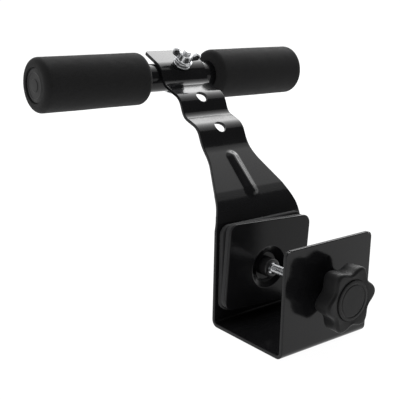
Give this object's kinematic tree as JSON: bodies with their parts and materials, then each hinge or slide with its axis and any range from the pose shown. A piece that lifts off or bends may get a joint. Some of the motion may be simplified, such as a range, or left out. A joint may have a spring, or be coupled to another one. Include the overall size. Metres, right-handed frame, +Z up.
{
  "type": "clamp-on sit-up foot bar",
  "caption": "Clamp-on foot bar: a bent steel bracket grips a board's edge with a star-knob screw and carries a foam-covered crossbar on a stepped arm.",
  "frame": {"origin": "middle of the inner face of the bracket's base, where the edge of the clamped board sits", "axes": "+Z up, out of the clamp's mouth; +Y from the knob and front jaw towards the crossbar; +X along the crossbar"},
  "size_m": [0.282, 0.2484, 0.2178],
  "materials": {
    "frame_paint": "gloss",
    "plate_paint": "satin",
    "pad_rubber": "matte",
    "zinc": "satin",
    "black_steel": "satin",
    "knob_plastic": "matte",
    "cap_plastic": "satin",
    "foam": "matte"
  },
  "bodies": {
    "frame": {"bracket": "frame_paint", "clamp_nut": "black_steel", "jaw_pad": "pad_rubber", "crossbar_tube": "frame_paint", "left_foam": "foam", "right_foam": "foam", "left_end_cap": "cap_plastic", "right_end_cap": "cap_plastic", "bar_bolt": "zinc"},
    "swivel": {"swivel_ring": "zinc"},
    "screw": {"clamp_screw": "zinc", "star_knob": "knob_plastic", "knob_cover": "cap_plastic"},
    "pressure_plate": {"clamp_plate": "plate_paint", "plate_pad": "pad_rubber", "swivel_cup": "black_steel"},
    "washer": {"bar_washer": "zinc", "spring_washer": "zinc"},
    "wing_nut": {"wing_nut": "zinc"}
  },
  "joints": [
    {"name": "clamp_travel", "type": "slide", "parent": "frame", "child": "swivel", "axis": [0, -1, 0], "range_m": [0, 0.045]},
    {"name": "screw_turn", "type": "hinge", "parent": "swivel", "child": "screw", "pos_m": [0, -0.066, 0.043], "axis": [0, -1, 0], "range_deg": [0, 12960]},
    {"name": "plate_swivel", "type": "hinge", "parent": "swivel", "child": "pressure_plate", "pos_m": [0, 0.0255, 0.043], "axis": [0, 1, 0], "range_deg": [-18, 11.4]},
    {"name": "washer_lift", "type": "slide", "parent": "frame", "child": "washer", "axis": [0, -0.6293, 0.7771], "range_m": [0, 0.00625]},
    {"name": "wing_nut_turn", "type": "hinge", "parent": "washer", "child": "wing_nut", "pos_m": [0, 0.14634, 0.20244], "axis": [0, -0.6293, 0.7771], "range_deg": [0, 1800]}
  ],
  "couplings": [
    {"joint": "screw_turn", "follows": "clamp_travel", "rad_per_m": 5026.5},
    {"joint": "washer_lift", "follows": "wing_nut_turn", "m_per_rad": 0.00019894}
  ]
}
